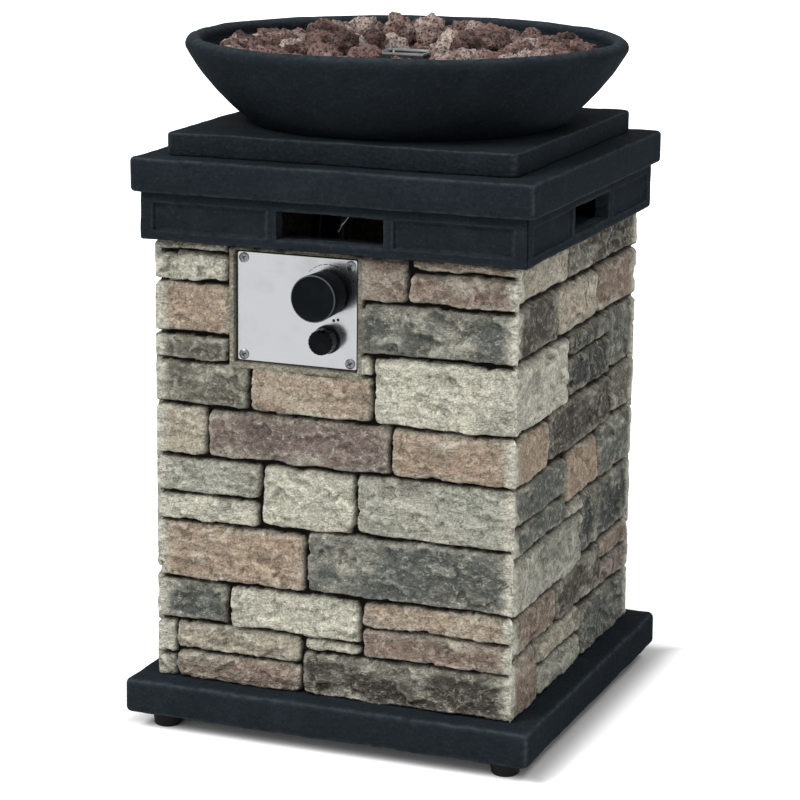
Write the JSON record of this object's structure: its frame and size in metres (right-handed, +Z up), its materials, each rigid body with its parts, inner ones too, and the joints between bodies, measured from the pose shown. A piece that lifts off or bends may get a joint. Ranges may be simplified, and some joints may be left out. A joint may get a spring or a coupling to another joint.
{
  "type": "propane fire column",
  "caption": "Floor-standing square stone-faced gas fire column with a vented cap, a round bowl of lava rock, a control plate and a rear door to the gas bottle space.",
  "frame": {"origin": "centre of the column on the floor that the feet stand on", "axes": "+Z up, -Y out of the front with the control plate, +X to the right as seen from the front"},
  "size_m": [0.4429, 0.443, 0.7061],
  "materials": {
    "cast_black": "matt black cast stone",
    "cast_stone": "mottled stacked-stone casting",
    "lava_rock": "porous red-brown lava rock",
    "foot_rubber": "black rubber",
    "steel": "stainless steel",
    "plate_steel": "brushed stainless steel",
    "pull_black": "black powder coat",
    "pipe_metal": "bright aluminium",
    "brass": "plain brass",
    "white_ceramic": "white ceramic",
    "lead_sleeve": "red silicone sleeve",
    "black_plastic": "black plastic",
    "knob_black": "satin black plastic",
    "button_black": "gloss black plastic",
    "battery_case": "plain grey sleeve"
  },
  "bodies": {
    "column": {"base_plinth": "cast_black", "feet": "foot_rubber", "front_panel": "cast_stone", "right_panel": "cast_stone", "left_panel": "cast_stone", "left_jamb": "cast_stone", "right_jamb": "cast_stone", "hinge_leaves": "steel", "hinge_pins": "steel", "hinge_screws": "steel", "catch_magnet": "black_plastic", "top_cap": "cast_black", "bowl_plinth": "cast_black", "fire_bowl": "cast_black", "burner_pan": "steel", "burner_ring": "steel", "mixer_tube": "steel", "lock_nut": "steel", "gas_jet": "brass", "feed_pipe": "pipe_metal", "feed_nuts": "brass", "heat_shield": "steel", "pilot_guard": "steel", "electrode": "white_ceramic", "ignition_lead": "lead_sleeve", "thermocouple": "steel", "thermocouple_lead": "pipe_metal", "control_plate": "plate_steel", "plate_screws": "steel", "gas_valve": "pipe_metal", "valve_screws": "steel", "inlet_fitting": "brass", "igniter_body": "black_plastic", "igniter_nut": "black_plastic", "battery": "battery_case", "battery_spring": "steel", "lava_rocks": "lava_rock"},
    "door": {"access_door": "cast_stone", "door_leaves": "steel", "door_screws": "steel", "door_pull": "pull_black", "catch_strike": "steel"},
    "push_rod": {"push_pin": "brass"},
    "knob": {"valve_stem": "steel", "control_knob": "knob_black"},
    "button": {"igniter_button": "button_black"}
  },
  "joints": [
    {"name": "door_swing", "type": "hinge", "parent": "column", "child": "door", "pos_m": [0.1565, 0.195, 0.27], "axis": [0, 0, -1], "range_deg": [0, 110]},
    {"name": "knob_press", "type": "slide", "parent": "column", "child": "push_rod", "axis": [0, 1, 0], "range_m": [0, 0.005], "stiffness_N_per_m": 800},
    {"name": "knob_turn", "type": "hinge", "parent": "push_rod", "child": "knob", "pos_m": [-0.008, -0.2, 0.461], "axis": [0, -1, 0], "range_deg": [0, 180]},
    {"name": "igniter_press", "type": "slide", "parent": "column", "child": "button", "axis": [0, 1, 0], "range_m": [0, 0.0035], "stiffness_N_per_m": 1500}
  ]
}
